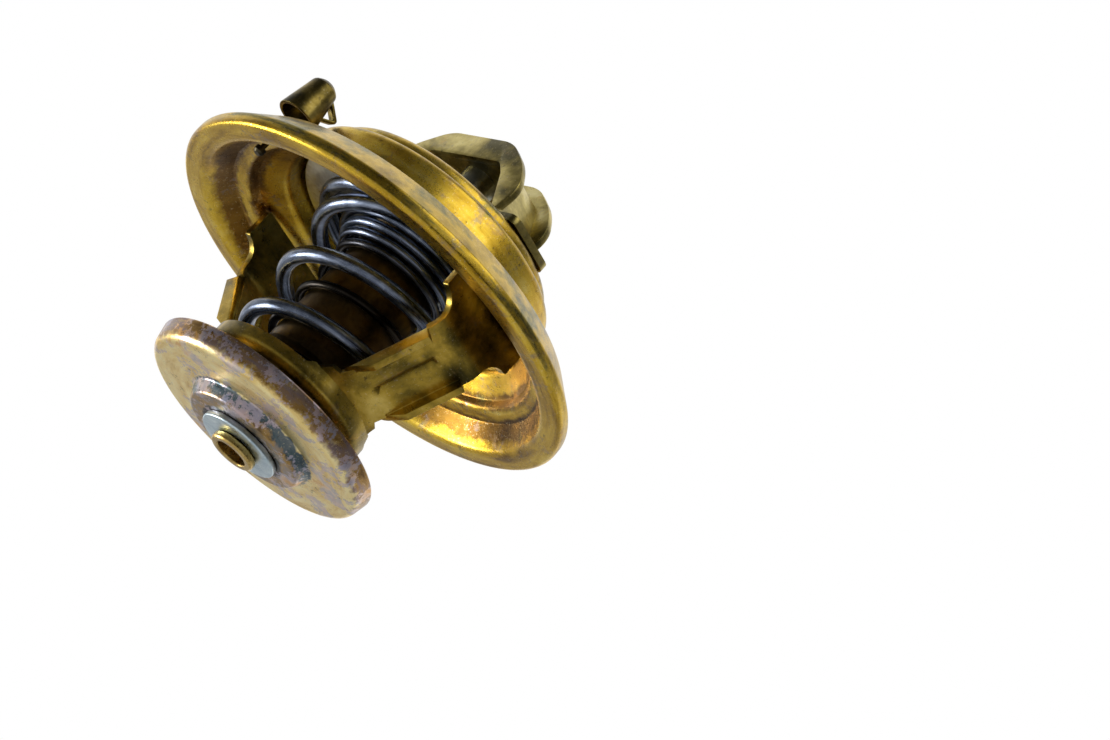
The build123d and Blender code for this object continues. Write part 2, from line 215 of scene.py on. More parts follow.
class Finish:
    """One procedural finish, its nodes placed by short calls."""

    def __init__(self, name):
        self.material = bpy.data.materials.new(name)
        self.material.use_nodes = True
        self.tree = self.material.node_tree
        self.shader = self.tree.nodes["Principled BSDF"]
        place = self.tree.nodes.new("ShaderNodeTexCoord").outputs["Object"]
        mapping = self.tree.nodes.new("ShaderNodeMapping")
        mapping.inputs["Scale"].default_value = (1 / MM,) * 3
        self.tree.links.new(place, mapping.inputs["Vector"])
        self.place = mapping.outputs["Vector"]

    def link(self, source, target):
        """Feed a socket from another one, or set it to a value."""
        if isinstance(source, bpy.types.NodeSocket):
            self.tree.links.new(source, target)
        else:
            target.default_value = source

    def noise(self, scale, detail=4.0, rough=0.55, twist=0.0, place=None, offset=(0, 0, 0),
              stretch=(1, 1, 1)):
        """Share from 0 to 1 that drifts over the piece; scale is in waves to the mm."""
        vector = place or self.place
        if offset != (0, 0, 0) or stretch != (1, 1, 1):
            mapping = self.tree.nodes.new("ShaderNodeMapping")
            mapping.inputs["Location"].default_value = offset
            mapping.inputs["Scale"].default_value = stretch
            self.tree.links.new(vector, mapping.inputs["Vector"])
            vector = mapping.outputs["Vector"]
        node = self.tree.nodes.new("ShaderNodeTexNoise")
        self.tree.links.new(vector, node.inputs["Vector"])
        node.inputs["Scale"].default_value = scale
        node.inputs["Detail"].default_value = detail
        node.inputs["Roughness"].default_value = rough
        node.inputs["Distortion"].default_value = twist
        return node.outputs["Fac"]

    def ramp(self, fac, stops):
        """Colours, or shares as greys, by place along a share."""
        node = self.tree.nodes.new("ShaderNodeValToRGB")
        elements = node.color_ramp.elements
        while len(elements) < len(stops):
            elements.new(0.5)
        for element, (position, colour) in zip(elements, stops):
            element.position = position
            if isinstance(colour, (int, float)):
                colour = (colour,) * 3
            element.color = (*colour, 1)
        self.tree.links.new(fac, node.inputs["Fac"])
        return node.outputs["Color"]

    def mix(self, fac, a, b):
        """Colour or share between a and b."""
        node = self.tree.nodes.new("ShaderNodeMix")
        node.data_type = "RGBA"
        self.link(fac, node.inputs[0])
        for value, socket in ((a, node.inputs[6]), (b, node.inputs[7])):
            self.link((*value, 1) if isinstance(value, tuple) else value, socket)
        return node.outputs[2]

    def math(self, operation, a, b=0.0):
        """One sum of sockets or numbers."""
        node = self.tree.nodes.new("ShaderNodeMath")
        node.operation = operation
        self.link(a, node.inputs[0])
        self.link(b, node.inputs[1])
        return node.outputs[0]

    def span(self, value, low, high, to_low, to_high):
        """A value's place between low and high, carried over to another range and held in it."""
        node = self.tree.nodes.new("ShaderNodeMapRange")
        for i, v in enumerate((value, low, high, to_low, to_high)):
            self.link(v, node.inputs[i])
        return node.outputs[0]

    def bump(self, height, strength, distance, under=None):
        """Normal for fine relief, on top of the relief given by under."""
        node = self.tree.nodes.new("ShaderNodeBump")
        node.inputs["Strength"].default_value = strength
        node.inputs["Distance"].default_value = distance * MM
        self.tree.links.new(height, node.inputs["Height"])
        if under is not None:
            self.tree.links.new(under, node.inputs["Normal"])
        return node.outputs["Normal"]

    def part(self, axis):
        """One coordinate of the piece in mm."""
        node = self.tree.nodes.new("ShaderNodeSeparateXYZ")
        self.tree.links.new(self.place, node.inputs[0])
        return node.outputs[axis]

    def reach(self):
        """Distance from the valve's axis in mm."""
        squares = [self.math("MULTIPLY", self.part(i), self.part(i)) for i in (0, 1)]
        return self.math("SQRT", self.math("ADD", *squares))

    def around(self, turn, step):
        """Place for streaks that run round the axis."""
        flat = self.tree.nodes.new("ShaderNodeCombineXYZ")
        for i in (0, 1):
            share = self.math("DIVIDE", self.part(i), self.reach())
            self.link(self.math("MULTIPLY", share, turn), flat.inputs[i])
        lift = self.math("ADD", self.reach(), self.math("MULTIPLY", self.part(2), 0.8))
        self.link(self.math("MULTIPLY", lift, step), flat.inputs[2])
        return flat.outputs[0]

    # Mask for painted shade: it keeps the dark fold tones to faces turned down or inwards.
    def inside(self):
        """1 on faces turned down or towards the axis, 0 on the outside; for pieces that stand still."""
        face = self.tree.nodes.new("ShaderNodeNewGeometry")
        way = self.tree.nodes.new("ShaderNodeCombineXYZ")
        for i in (0, 1):
            self.link(self.math("DIVIDE", self.part(i), self.reach()), way.inputs[i])
        way.inputs[2].default_value = 1.0
        dot = self.tree.nodes.new("ShaderNodeVectorMath")
        dot.operation = "DOT_PRODUCT"
        self.tree.links.new(face.outputs["Normal"], dot.inputs[0])
        self.tree.links.new(way.outputs[0], dot.inputs[1])
        return self.span(dot.outputs["Value"], -0.15, 0.15, 1.0, 0.0)

    def done(self, colour, metal, rough, normal):
        """Feed the shader and give the material."""
        for source, label in ((colour, "Base Color"), (metal, "Metallic"), (rough, "Roughness"),
                              (normal, "Normal")):
            self.link(source, self.shader.inputs[label])
        return self.material


def spaced(colours, first, width):
    """Ramp stops for colours that lie at even distances."""
    return [(first + width * i / (len(colours) - 1), c) for i, c in enumerate(colours)]


# Zones of dark shades on inside faces only are painted shade in the folds.
def passivated(name, shades, bloom, bloom_colours, speckle, rough=0.3, seed=0.0, scale=1.0,
               spun=0.0, zones=()):
    """Yellow-passivated zinc on pressed steel: drifting shades, blooms of other tints, specks, stains.

    bloom is where the blooms start, where they are full, and how strong they are. spun mixes in
    streaks round the axis. Each zone lays other shades outwards of a ring: (where it starts, where
    it is full, slant with height, shades, inside faces only). Lengths are in mm.
    """
    f = Finish(name)
    drift = (seed, seed * 1.7, -seed)
    cloud = f.noise(0.1 * scale, 5, 0.62, 0.3, offset=drift)
    if spun:
        streak = f.noise(1.0, 4, 0.6, place=f.around(2.2, 0.75), offset=drift)
        cloud = f.mix(spun, cloud, streak)
    base = f.ramp(cloud, spaced(shades, 0.34, 0.32))
    for low, high, slant, colours, inside_only in zones:
        ring = f.math("ADD", f.reach(), f.math("MULTIPLY", f.part(2), slant))
        soft = f.math("ADD", ring, f.span(f.noise(0.5, 3, 0.6), 0.3, 0.7, -0.35, 0.35))
        band = f.span(soft, low, high, 0.0, 1.0)
        streak = f.noise(1.0, 5, 0.62, 0.2, place=f.around(2.6, 0.6), offset=(seed, 3, 5))
        tone = f.ramp(streak, spaced(colours, 0.3, 0.42))
        # Painted shade in the folds falls only on the inner faces.
        if inside_only:
            band = f.math("MULTIPLY", band, f.inside())
        base = f.mix(band, base, tone)
    tint = f.ramp(f.noise(0.17 * scale, 3, 0.6, 0.3, offset=(seed + 9, 4, 2)),
                  spaced(bloom_colours, 0.34, 0.32))
    wide = f.noise(0.24 * scale, 4, 0.6, 0.3, offset=(3, seed + 5, 8))
    blot = f.mix(0.35, wide, f.noise(1.5, 4, 0.7))
    patch = f.ramp(blot, [(bloom[0], 0.0), (bloom[1], bloom[2])])
    colour = f.mix(patch, base, tint)
    grain = f.noise(2.6, 3, 0.7, offset=drift)
    colour = f.mix(f.ramp(grain, [(0.6, 0.0), (0.7, speckle)]), colour, (0.93, 0.80, 0.50))
    pits = f.ramp(f.noise(0.9, 5, 0.75, 0.3, offset=(1, 2, seed)), [(0.3, 0.75), (0.39, 0.0)])
    colour = f.mix(pits, colour, (0.055, 0.04, 0.018))
    scratch = f.noise(1.1, 4, 0.6, 0.2, stretch=(1, 7, 7))
    wear = f.mix(0.5, f.noise(0.6, 5, 0.7), scratch)
    roughness = f.span(wear, 0.3, 0.7, rough - 0.08, rough + 0.12)
    normal = f.bump(grain, 0.14, 0.03)
    normal = f.bump(f.noise(0.34, 3, 0.5), 0.16, 0.1, normal)
    return f.done(colour, 1.0, roughness, normal)


# Shades of the plating, and two lists of painted shade.
# Clouds and streaks drift from each to the next in its list.
GOLD = [(0.23, 0.125, 0.010), (0.54, 0.33, 0.026), (0.74, 0.50, 0.055), (0.86, 0.67, 0.18)]
# Painted shade: the dark tones laid in the hat's folds on their inner faces.
FOLD_SHADE = [(0.055, 0.026, 0.006), (0.17, 0.085, 0.012), (0.34, 0.19, 0.03)]
LIP = [(0.09, 0.065, 0.010), (0.34, 0.22, 0.022), (0.62, 0.41, 0.045), (0.16, 0.145, 0.045),
       (0.72, 0.52, 0.09)]
AMBER = [(0.050, 0.040, 0.010), (0.19, 0.135, 0.022), (0.46, 0.31, 0.045), (0.68, 0.50, 0.12)]
SMOKED = [(0.035, 0.028, 0.008), (0.10, 0.075, 0.018), (0.22, 0.16, 0.035), (0.36, 0.27, 0.07)]
STRAP = [(0.10, 0.085, 0.025), (0.34, 0.27, 0.075), (0.64, 0.53, 0.18), (0.82, 0.72, 0.34)]
CREAM = [(0.68, 0.45, 0.12), (0.88, 0.66, 0.25), (0.97, 0.80, 0.38), (0.98, 0.87, 0.52)]
RIM = [(0.14, 0.075, 0.022), (0.36, 0.21, 0.06), (0.27, 0.20, 0.19), (0.52, 0.36, 0.13)]
# Painted shadow: the dark ring on the disc round the washer.
WASHER_SHADOW = [(0.020, 0.016, 0.012), (0.06, 0.045, 0.03), (0.12, 0.085, 0.05)]
BOSS = [(0.13, 0.085, 0.045), (0.42, 0.26, 0.085), (0.27, 0.23, 0.20), (0.60, 0.42, 0.15)]
GROOVE = [(0.035, 0.048, 0.055), (0.10, 0.14, 0.155), (0.19, 0.21, 0.21)]
TINTS = [(0.14, 0.15, 0.06), (0.36, 0.21, 0.11), (0.17, 0.18, 0.20), (0.62, 0.31, 0.04),
         (0.22, 0.20, 0.06)]
BLOOM = [(0.50, 0.44, 0.52), (0.66, 0.52, 0.54), (0.42, 0.42, 0.54), (0.78, 0.60, 0.50),
         (0.76, 0.42, 0.12)]

# The two zones of dark tones on inner faces are painted shade in the hat's folds; the gold zones and the
# lip are plating.
hat_plating = passivated("hat_plating", GOLD, (0.54, 0.62, 0.55), TINTS, 0.35, rough=0.28, seed=2.0,
                         spun=0.45, zones=[(23.3, 23.9, 0.0, FOLD_SHADE, True), (24.9, 25.6, 0.0, GOLD, False),
                                           (26.5, 27.1, 0.0, FOLD_SHADE, True), (28.7, 29.4, 0.0, GOLD, False),
                                           (34.0, 34.6, 1.0, LIP, False)])
cage_plating = passivated("cage_plating", AMBER, (0.56, 0.66, 0.5), TINTS, 0.2, 0.3, 7.0)
bridge_plating = passivated("bridge_plating", STRAP, (0.54, 0.64, 0.5), TINTS, 0.3, 0.33, 12.0)
vent_plating = passivated("vent_plating", SMOKED, (0.6, 0.7, 0.4), TINTS, 0.15, 0.34, 17.0, 2.0)
# The disc's first shades, inside the boss, are a painted shadow round the washer; the rings outwards are
# plating.
disc_plating = passivated("disc_plating", WASHER_SHADOW, (0.515, 0.545, 0.72), BLOOM, 0.4, rough=0.3, seed=23.0,
                          scale=0.9, zones=[(6.7, 7.1, 0.0, BOSS, False),
                                            (9.35, 9.6, 0.0, GROOVE, False),
                                            (10.2, 10.5, 0.0, CREAM, False),
                                            (17.4, 17.8, 0.0, RIM, False)])


def plain_metal(name, low, high, rough, seed=0.0, scale=0.5, grain=2.0):
    """Uncoated metal with soft colour drift, fine grain and dull spots."""
    f = Finish(name)
    colour = f.ramp(f.noise(scale, 6, 0.6, 0.6, offset=(seed, 1, 2)), [(0.3, low), (0.7, high)])
    spots = f.ramp(f.noise(1.7, 5, 0.7, offset=(4, seed, 1)), [(0.3, 0.45), (0.42, 0.0)])
    colour = f.mix(spots, colour, tuple(c * 0.35 for c in low))
    fine = f.noise(grain, 4, 0.6)
    roughness = f.span(f.noise(0.8, 5, 0.7), 0.3, 0.7, rough - 0.08, rough + 0.12)
    return f.done(colour, 1.0, roughness, f.bump(fine, 0.12, 0.03))


def wire_metal(name, shaded_below=None):
    """Blued spring wire with drawn streaks along its length, and painted shade that darkens it below a
    height.
    """
    f = Finish(name)
    along = f.tree.nodes.new("ShaderNodeAttribute")
    along.attribute_name = "wire_place"
    streak = f.noise(1.0, 5, 0.65, place=along.outputs["Vector"], stretch=(0.12, 2.4, 1))
    cloud = f.noise(0.22, 5, 0.6, 0.5)
    blued = [(0.36, (0.045, 0.055, 0.075)), (0.5, (0.13, 0.155, 0.21)), (0.64, (0.34, 0.39, 0.49))]
    colour = f.ramp(f.mix(0.5, cloud, streak), blued)
    fleck = f.ramp(f.noise(2.8, 3, 0.6), [(0.62, 0.0), (0.72, 0.25)])
    colour = f.mix(fleck, colour, (0.62, 0.66, 0.74))
    # Painted shade: the wire is darkened below a height, where it runs round the capsule.
    if shaded_below is not None:
        painted_shade = f.span(f.part(2), shaded_below, shaded_below + 2.5, 1.0, 0.0)
        dark = f.ramp(cloud, [(0.35, (0.010, 0.009, 0.008)), (0.65, (0.035, 0.028, 0.020))])
        colour = f.mix(painted_shade, colour, dark)
    roughness = f.span(streak, 0.3, 0.7, 0.2, 0.38)
    return f.done(colour, 1.0, roughness, f.bump(streak, 0.25, 0.04))


def matt(name, low, high, rough, scale=1.2):
    """Rubber, plastic or wax: not metal, faintly mottled, finely grained."""
    f = Finish(name)
    colour = f.ramp(f.noise(scale, 5, 0.6, 0.3), [(0.32, low), (0.68, high)])
    roughness = f.span(f.noise(scale * 2, 4, 0.6), 0.3, 0.7, rough - 0.08, rough + 0.08)
    return f.done(colour, 0.0, roughness, f.bump(f.noise(4.0, 3, 0.6), 0.15, 0.03))


spring_steel = wire_metal("spring_steel")
# The bypass coil gets painted shade below 3.2 mm, where it runs round the capsule.
low_spring_steel = wire_metal("low_spring_steel", 3.2)
valve_steel = plain_metal("valve_steel", (0.40, 0.41, 0.40), (0.66, 0.67, 0.64), 0.33, 3)
washer_zinc = plain_metal("washer_zinc", (0.42, 0.54, 0.60), (0.70, 0.80, 0.82), 0.32, 6)
capsule_brass = plain_metal("capsule_brass", (0.055, 0.034, 0.014), (0.14, 0.095, 0.035), 0.36, 8)
stem_brass = plain_metal("stem_brass", (0.40, 0.26, 0.07), (0.68, 0.50, 0.18), 0.26, 11)
pin_steel = plain_metal("pin_steel", (0.20, 0.20, 0.15), (0.40, 0.40, 0.30), 0.34, 14)
vent_steel = plain_metal("vent_steel", (0.03, 0.025, 0.015), (0.09, 0.075, 0.04), 0.4, 17)
seal_rubber = matt("seal_rubber", (0.012, 0.012, 0.013), (0.035, 0.035, 0.037), 0.55)
backing_plastic = matt("backing_plastic", (0.72, 0.72, 0.69), (0.84, 0.84, 0.81), 0.4)
wax = matt("wax", (0.36, 0.20, 0.09), (0.55, 0.34, 0.17), 0.6)


# ---------------------------------------------------------------- hat

HAT_SHEET = 1.2
hat_line = [(15, 14.8), (18.5, 14.8), (18.5, 12.6), (20.4, 12.6), (20.9, 7.8), (24.3, 5.5),
            (24.9, 4.15), (27.3, 3.85), (29.9, 0), (33.5, 0), (33.5, 1.9), (29.5, 5.9)]
hat_bends = [0.6, 1.4, 0.4, 1.6, 0.6, 1.3, 0.6, 1.5, 0.8, 0.8]
hat = turned("hat", sheet_section(hat_line, hat_bends, HAT_SHEET, 0.25, 7), hat_plating, 320)
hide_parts("flange_hat")
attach(hat, "housing")


# ---------------------------------------------------------------- cage

CAGE_SHEET = 1.1
CUP_RADIUS = 11.8
CUP_FLOOR = -18.1
CUP_WALL = 1.7
LEG_RADIUS = 21.5
KNEE_LOW, KNEE_HIGH = -15.5, -2.8
FOOT_BOTTOM, FOOT_TOP = 0.6, 5.45
FOOT_HALF, FOOT_NOSE = 8.6, 0.4
LEG_HALF = 5.3
ARMPIT = 2.9
FLARE_TOP, FLARE_HEIGHT, FLARE = -12.6, 3, 1.3
FLAP_LOW, FLAP_HIGH = (12.9, -14.1), (20.5, -4.15)
FLAP_HEIGHT = 2.8
FLAP_INSET = 0.75
BEAD_LOW, BEAD_HIGH = -12.7, -4.7
BEAD_HALF, BEAD_DEPTH = 1.45, 1.0
CURL_TOP, CURL_HEIGHT = -11.4, 4.2
LEG_COLUMNS = 30


def leg_half_width(z):
    """Half the leg's width at a height: foot, armpit, straight behind the flaps, flare to the cup."""
    if z >= FOOT_BOTTOM:
        edge = min(z - FOOT_BOTTOM, FOOT_TOP - z)
        if edge >= FOOT_NOSE:
            return FOOT_HALF
        return FOOT_HALF - FOOT_NOSE * (1 - math.sqrt(max(0, 1 - (1 - edge / FOOT_NOSE) ** 2)))
    if z > FOOT_BOTTOM - ARMPIT:
        drop = z - FOOT_BOTTOM + ARMPIT
        return LEG_HALF + ARMPIT - math.sqrt(max(0, ARMPIT ** 2 - drop ** 2))
    if FLAP_LOW[1] < z < FLAP_HIGH[1]:
        return LEG_HALF - FLAP_INSET
    if z < FLARE_TOP:
        return LEG_HALF + FLARE * max(0, (FLARE_TOP - z) / FLARE_HEIGHT) ** 2
    return LEG_HALF


def leg_stations():
    """Places of a leg's rows from the cup up, closer together where the edge turns."""
    corners = [(CUP_RADIUS, -17.0), (CUP_RADIUS, KNEE_LOW), (LEG_RADIUS, KNEE_HIGH),
               (LEG_RADIUS, FOOT_TOP)]
    line, last = [], None
    for point, normal, place in stations(corners, [0.25, 3.0], 0.03):
        half = leg_half_width(point.y)
        turning = last is not None and abs(half - last[1]) > 0.22
        if last is None or place - last[0] > 0.2 or turning or point.y > FOOT_TOP - 0.01:
            line.append((point, normal, half))
            last = (place, half)
    return line


def leg_rows():
    """Rows of a leg, pressed in along its bead and curled to the cup's wall at its lower end."""
    rows = []
    for point, normal, half in leg_stations():
        x, z = point.x, point.y
        bead_end = min(max((z - BEAD_LOW) / 1.0, 0), max((BEAD_HIGH - z) / 1.0, 0), 1)
        curl = max(0, min(1, (CURL_TOP - z) / CURL_HEIGHT))
        curl = curl * curl * (3 - 2 * curl)
        row = []
        for i in range(2 * LEG_COLUMNS + 1):
            across = half * (i / LEG_COLUMNS - 1)
            bead = math.cos(min(abs(across) / BEAD_HALF, 1) * math.pi) * 0.5 + 0.5
            depth = BEAD_DEPTH * (bead * math.sin(bead_end * math.pi / 2))
            base = x - curl * (CUP_RADIUS - math.sqrt(max(0, CUP_RADIUS ** 2 - across ** 2)))
            row.append((base - normal.x * depth, across, z - normal.y * depth))
        rows.append(row)
    return rows


def extruded(name, outline, place, near, far, soft=0.14):
    """Solid of one outline drawn out from near to far; place puts (across, out, along) in mm."""
    shape = bmesh.new()
    ends = [[shape.verts.new([c * MM for c in place(a, o, along)]) for a, o in outline]
            for along in (near, far)]
    count = len(outline)
    for i in range(count):
        j = (i + 1) % count
        shape.faces.new((ends[0][i], ends[0][j], ends[1][j], ends[1][i]))
    shape.faces.new(list(reversed(ends[0])))
    shape.faces.new(ends[1])
    temp = bpy.data.objects.new(name, mesh_from(shape, name))
    scene.collection.objects.link(temp)
    softened(temp, soft, 2, 60)
    return taken_mesh(temp)


def flap(side):
    """Stiffening flap folded outwards along one edge of a leg's slope."""
    low, high = Vector(FLAP_LOW), Vector(FLAP_HIGH)
    slope = (high - low).normalized()
    outward = Vector((slope.y, -slope.x))
    section = sheet_section([(LEG_HALF, FLAP_HEIGHT), (LEG_HALF, 0.02), (4.1, 0.02)], [0.95],
                            -CAGE_SHEET, 0.12, 6)

    def place(across, out, along):
        """Slope's own directions to the object's; the lower end runs out at a slant."""
        spot = low + slope * (along or 1.5 * out) + outward * out
        return spot.x, side * across, spot.y

    return extruded("flap", section, place, 0, (high - low).length)


leg_parts = [sheet_piece(leg_rows(), CAGE_SHEET, "leg"), flap(1), flap(-1)]
for part in list(leg_parts):
    other = part.copy()
    other.transform(Matrix.Rotation(math.pi, 4, "Z"))
    leg_parts.append(other)
cup_outside, cup_underside = CUP_RADIUS + CAGE_SHEET, CUP_FLOOR - CAGE_SHEET
cup_line = [(9.2, cup_underside), (cup_outside, cup_underside), (cup_outside, CUP_FLOOR + CUP_WALL)]
cup = turned("cup", sheet_section(cup_line, [1.5], CAGE_SHEET, 0.25, 7), cage_plating, 200)
cage = joined("cage", [*leg_parts, cup.data], cage_plating)
bpy.data.objects.remove(cup)
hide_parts("cage_frame")
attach(cage, "housing")


# ---------------------------------------------------------------- bridge

BRIDGE_SHEET = 1.2
BRIDGE_LINE = [(18.9, 16.0), (14.0, 16.0), (9.3, 23.9), (7.4, 25.9)]
BRIDGE_HALF = 5.0
RIB_SHEET = 1.2
TIP_CENTRE, TIP_ROUND = 17.7, 1.2
rib_outer = [(13.7, 16.7), (15.0, 21.9), (11.9, 26.3), (6.6, 29.9)]
rib_inner = [(13.25, 17.1), (9.2, 23.9), (7.3, 25.85)]
outer_bends = [0.2, 4.6, 12.0, 6.5]
inner_bends = [0.2, 2.0, 1.6]


def mirrored(line):
    """The same line on the other side of the axis, in the opposite order."""
    return [(-x, z) for x, z in reversed(line)]


rib_corners = rib_outer + mirrored(rib_outer) + [(-x, z) for x, z in rib_inner] + rib_inner[::-1]
rib_bends = outer_bends + outer_bends[::-1] + inner_bends + inner_bends[::-1]
rib_outline = rounded(rib_corners, rib_bends, 12, closed=True)


def bridge_rows():
    """Rows of the bridge's strap; between the ribs its edges are drawn in, and its tips are round."""
    rows = []
    bends = [1.2, 2.2, 2.2, 2.2, 2.2, 1.2]
    for point, normal, _ in stations(BRIDGE_LINE + mirrored(BRIDGE_LINE), bends, 0.15):
        half = BRIDGE_HALF - 0.5 * min(1, max(0, (point.y - 16.9) / 0.5))
        beyond = abs(point.x) - TIP_CENTRE
        if beyond > 0:
            half -= TIP_ROUND - math.sqrt(max(0, TIP_ROUND ** 2 - beyond ** 2))
        rows.append([(point.x, half * (i / 12 - 1), point.y) for i in range(25)])
    return rows


def rib(side):
    """Upright rib along one edge of the strap."""
    return extruded("rib", rib_outline, lambda x, z, along: (x, side * along, z),
                    BRIDGE_HALF - RIB_SHEET, BRIDGE_HALF, 0.32)


bridge = joined("bridge", [sheet_piece(bridge_rows(), BRIDGE_SHEET, "strap"), rib(1), rib(-1)],
                bridge_plating)
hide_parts("top_bridge")
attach(bridge, "housing")


# ---------------------------------------------------------------- springs

def wire_tree():
    """Geometry nodes for round wire wound along radius and height curves."""
    tree = bpy.data.node_groups.new("wound_wire", "GeometryNodeTree")
    face = tree.interface
    face.new_socket("Geometry", in_out="OUTPUT", socket_type="NodeSocketGeometry")
    for kind, labels in (("Float", ("Wire", "Small radius", "Large radius", "Foot", "Head",
                                    "Start angle", "Whole turn")),
                         ("Int", ("Points", "Sides")), ("Material", ("Finish",))):
        for label in labels:
            face.new_socket(label, in_out="INPUT", socket_type="NodeSocket" + kind)
    n, link = tree.nodes, tree.links.new
    inputs, output = n.new("NodeGroupInput").outputs, n.new("NodeGroupOutput")

    def maths(operation, a, b=0):
        """One sum; a and b are sockets or numbers."""
        node = n.new("ShaderNodeMath")
        node.operation = operation
        for value, socket in ((a, node.inputs[0]), (b, node.inputs[1])):
            if isinstance(value, (int, float)):
                socket.default_value = value
            else:
                link(value, socket)
        return node.outputs[0]

    def spread(value, low, high):
        """A share from 0 to 1, spread from low to high."""
        node = n.new("ShaderNodeMapRange")
        link(value, node.inputs[0])
        link(low, node.inputs[3])
        link(high, node.inputs[4])
        return node.outputs[0]

    line = n.new("GeometryNodeCurvePrimitiveLine")
    points = n.new("GeometryNodeResampleCurve")
    link(line.outputs[0], points.inputs["Curve"])
    link(inputs["Points"], points.inputs["Count"])
    share = n.new("GeometryNodeSplineParameter").outputs["Factor"]
    radius_curve, height_curve = n.new("ShaderNodeFloatCurve"), n.new("ShaderNodeFloatCurve")
    radius_curve.name, height_curve.name = "radius", "height"
    for node in (radius_curve, height_curve):
        link(share, node.inputs["Value"])
    radius = spread(radius_curve.outputs[0], inputs["Small radius"], inputs["Large radius"])
    height = spread(height_curve.outputs[0], inputs["Foot"], inputs["Head"])
    angle = maths("ADD", inputs["Start angle"], maths("MULTIPLY", share, inputs["Whole turn"]))
    place = n.new("ShaderNodeCombineXYZ")
    link(maths("MULTIPLY", radius, maths("COSINE", angle)), place.inputs[0])
    link(maths("MULTIPLY", radius, maths("SINE", angle)), place.inputs[1])
    link(height, place.inputs[2])
    wind = n.new("GeometryNodeSetPosition")
    link(points.outputs[0], wind.inputs["Geometry"])
    link(place.outputs[0], wind.inputs["Position"])
    tangent = n.new("GeometryNodeSetCurveNormal")
    tangent.mode = "Z_UP"
    link(wind.outputs[0], tangent.inputs["Curve"])
    section = n.new("GeometryNodeCurvePrimitiveCircle")
    link(inputs["Sides"], section.inputs["Resolution"])
    link(maths("MULTIPLY", inputs["Wire"], 0.5), section.inputs["Radius"])
    length = n.new("GeometryNodeSplineParameter").outputs["Length"]
    keep_length = n.new("GeometryNodeCaptureAttribute")
    keep_length.capture_items.new("FLOAT", "Along")
    link(tangent.outputs[0], keep_length.inputs["Geometry"])
    link(length, keep_length.inputs["Along"])
    keep_turn = n.new("GeometryNodeCaptureAttribute")
    keep_turn.capture_items.new("FLOAT", "Round")
    link(section.outputs[0], keep_turn.inputs["Geometry"])
    link(n.new("GeometryNodeSplineParameter").outputs["Factor"], keep_turn.inputs["Round"])
    wire = n.new("GeometryNodeCurveToMesh")
    link(keep_length.outputs[0], wire.inputs["Curve"])
    link(keep_turn.outputs[0], wire.inputs["Profile Curve"])
    wire.inputs["Fill Caps"].default_value = True
    store = n.new("GeometryNodeStoreNamedAttribute")
    store.data_type = "FLOAT_VECTOR"
    store.inputs["Name"].default_value = "wire_place"
    value = n.new("ShaderNodeCombineXYZ")
    round_wire = maths("MULTIPLY", keep_turn.outputs[1], 2 * math.pi)
    link(maths("MULTIPLY", keep_length.outputs[1], 1000), value.inputs[0])
    link(maths("SINE", round_wire), value.inputs[1])
    link(maths("COSINE", round_wire), value.inputs[2])
    link(wire.outputs[0], store.inputs["Geometry"])
    link(value.outputs[0], store.inputs["Value"])
    realize = n.new("GeometryNodeRealizeInstances")
    finish = n.new("GeometryNodeSetMaterial")
    link(store.outputs[0], realize.inputs[0])
    link(realize.outputs[0], finish.inputs["Geometry"])
    link(inputs["Finish"], finish.inputs["Material"])
    link(finish.outputs[0], output.inputs[0])
    return tree


def wound_spring(name, wire, stops, finish, per_turn=48, sides=20):
    """Spring from stops of (angle in degrees, radius, height) in mm."""
    tree = wire_tree()
    angles, radii, heights = zip(*stops)
    whole = angles[-1] - angles[0]
    for label, values in (("radius", radii), ("height", heights)):
        low, high = min(values), max(values)
        curve = tree.nodes[label].mapping.curves[0]
        while len(curve.points) < len(stops):
            curve.points.new(0.5, 0.5)
        for point, angle, value in zip(curve.points, angles, values):
            gone = angle - angles[0]
            point.location = (gone / whole, (value - low) / max(high - low, 1e-6))
            point.handle_type = "AUTO_CLAMPED" if 0 < gone < whole else "VECTOR"
        tree.nodes[label].mapping.update()
    carrier = bpy.data.objects.new(name + "_path", bpy.data.meshes.new(name + "_path"))
    scene.collection.objects.link(carrier)
    modifier = carrier.modifiers.new("wire", "NODES")
    modifier.node_group = tree
    values = {"Wire": wire * MM, "Small radius": min(radii) * MM, "Large radius": max(radii) * MM,
              "Foot": min(heights) * MM, "Head": max(heights) * MM,
              "Start angle": math.radians(angles[0]), "Whole turn": math.radians(whole),
              "Points": round(whole / 360 * per_turn), "Sides": sides, "Finish": finish}
    for item in tree.interface.items_tree:
        if item.item_type == "SOCKET" and item.in_out == "INPUT":
            modifier[item.identifier] = values[item.name]
    bpy.context.view_layer.update()
    return finish_mesh(name, taken_mesh(carrier), finish, 50)


# Closed end, three open coils that widen upwards, closed end under the valve plate.
main_stops = [(-200, 10.3, -16.85), (55, 10.35, -16.85), (240, 11.0, -12.3), (600, 11.95, -3.15),
              (960, 13.1, 5.95), (1089, 13.4, 9.15), (1240, 14.7, 9.15), (1360, 14.7, 9.15)]
big_spring = wound_spring("return_spring", 2.4, main_stops, spring_steel, 64, 24)
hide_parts("main_spring")
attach(big_spring, "housing")
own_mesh(big_spring)

# Closed end on the disc, open coils round the capsule, cone of close coils under the valve plate.
low_stops = [(-230, 7.2, -25.0), (40, 7.2, -25.0), (634, 8.02, -15.7), (1948, 8.02, 3.12),
             (2128, 8.3, 4.4), (2488, 9.1, 5.7), (2848, 9.9, 7.0), (3208, 10.7, 8.3), (3568, 10.7, 9.66)]
small_spring = wound_spring("bypass_coil", 1.3, low_stops, low_spring_steel, 48, 16)
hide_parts("bypass_spring")
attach(small_spring, "capsule")
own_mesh(small_spring)


# ---------------------------------------------------------------- turned and pressed small pieces

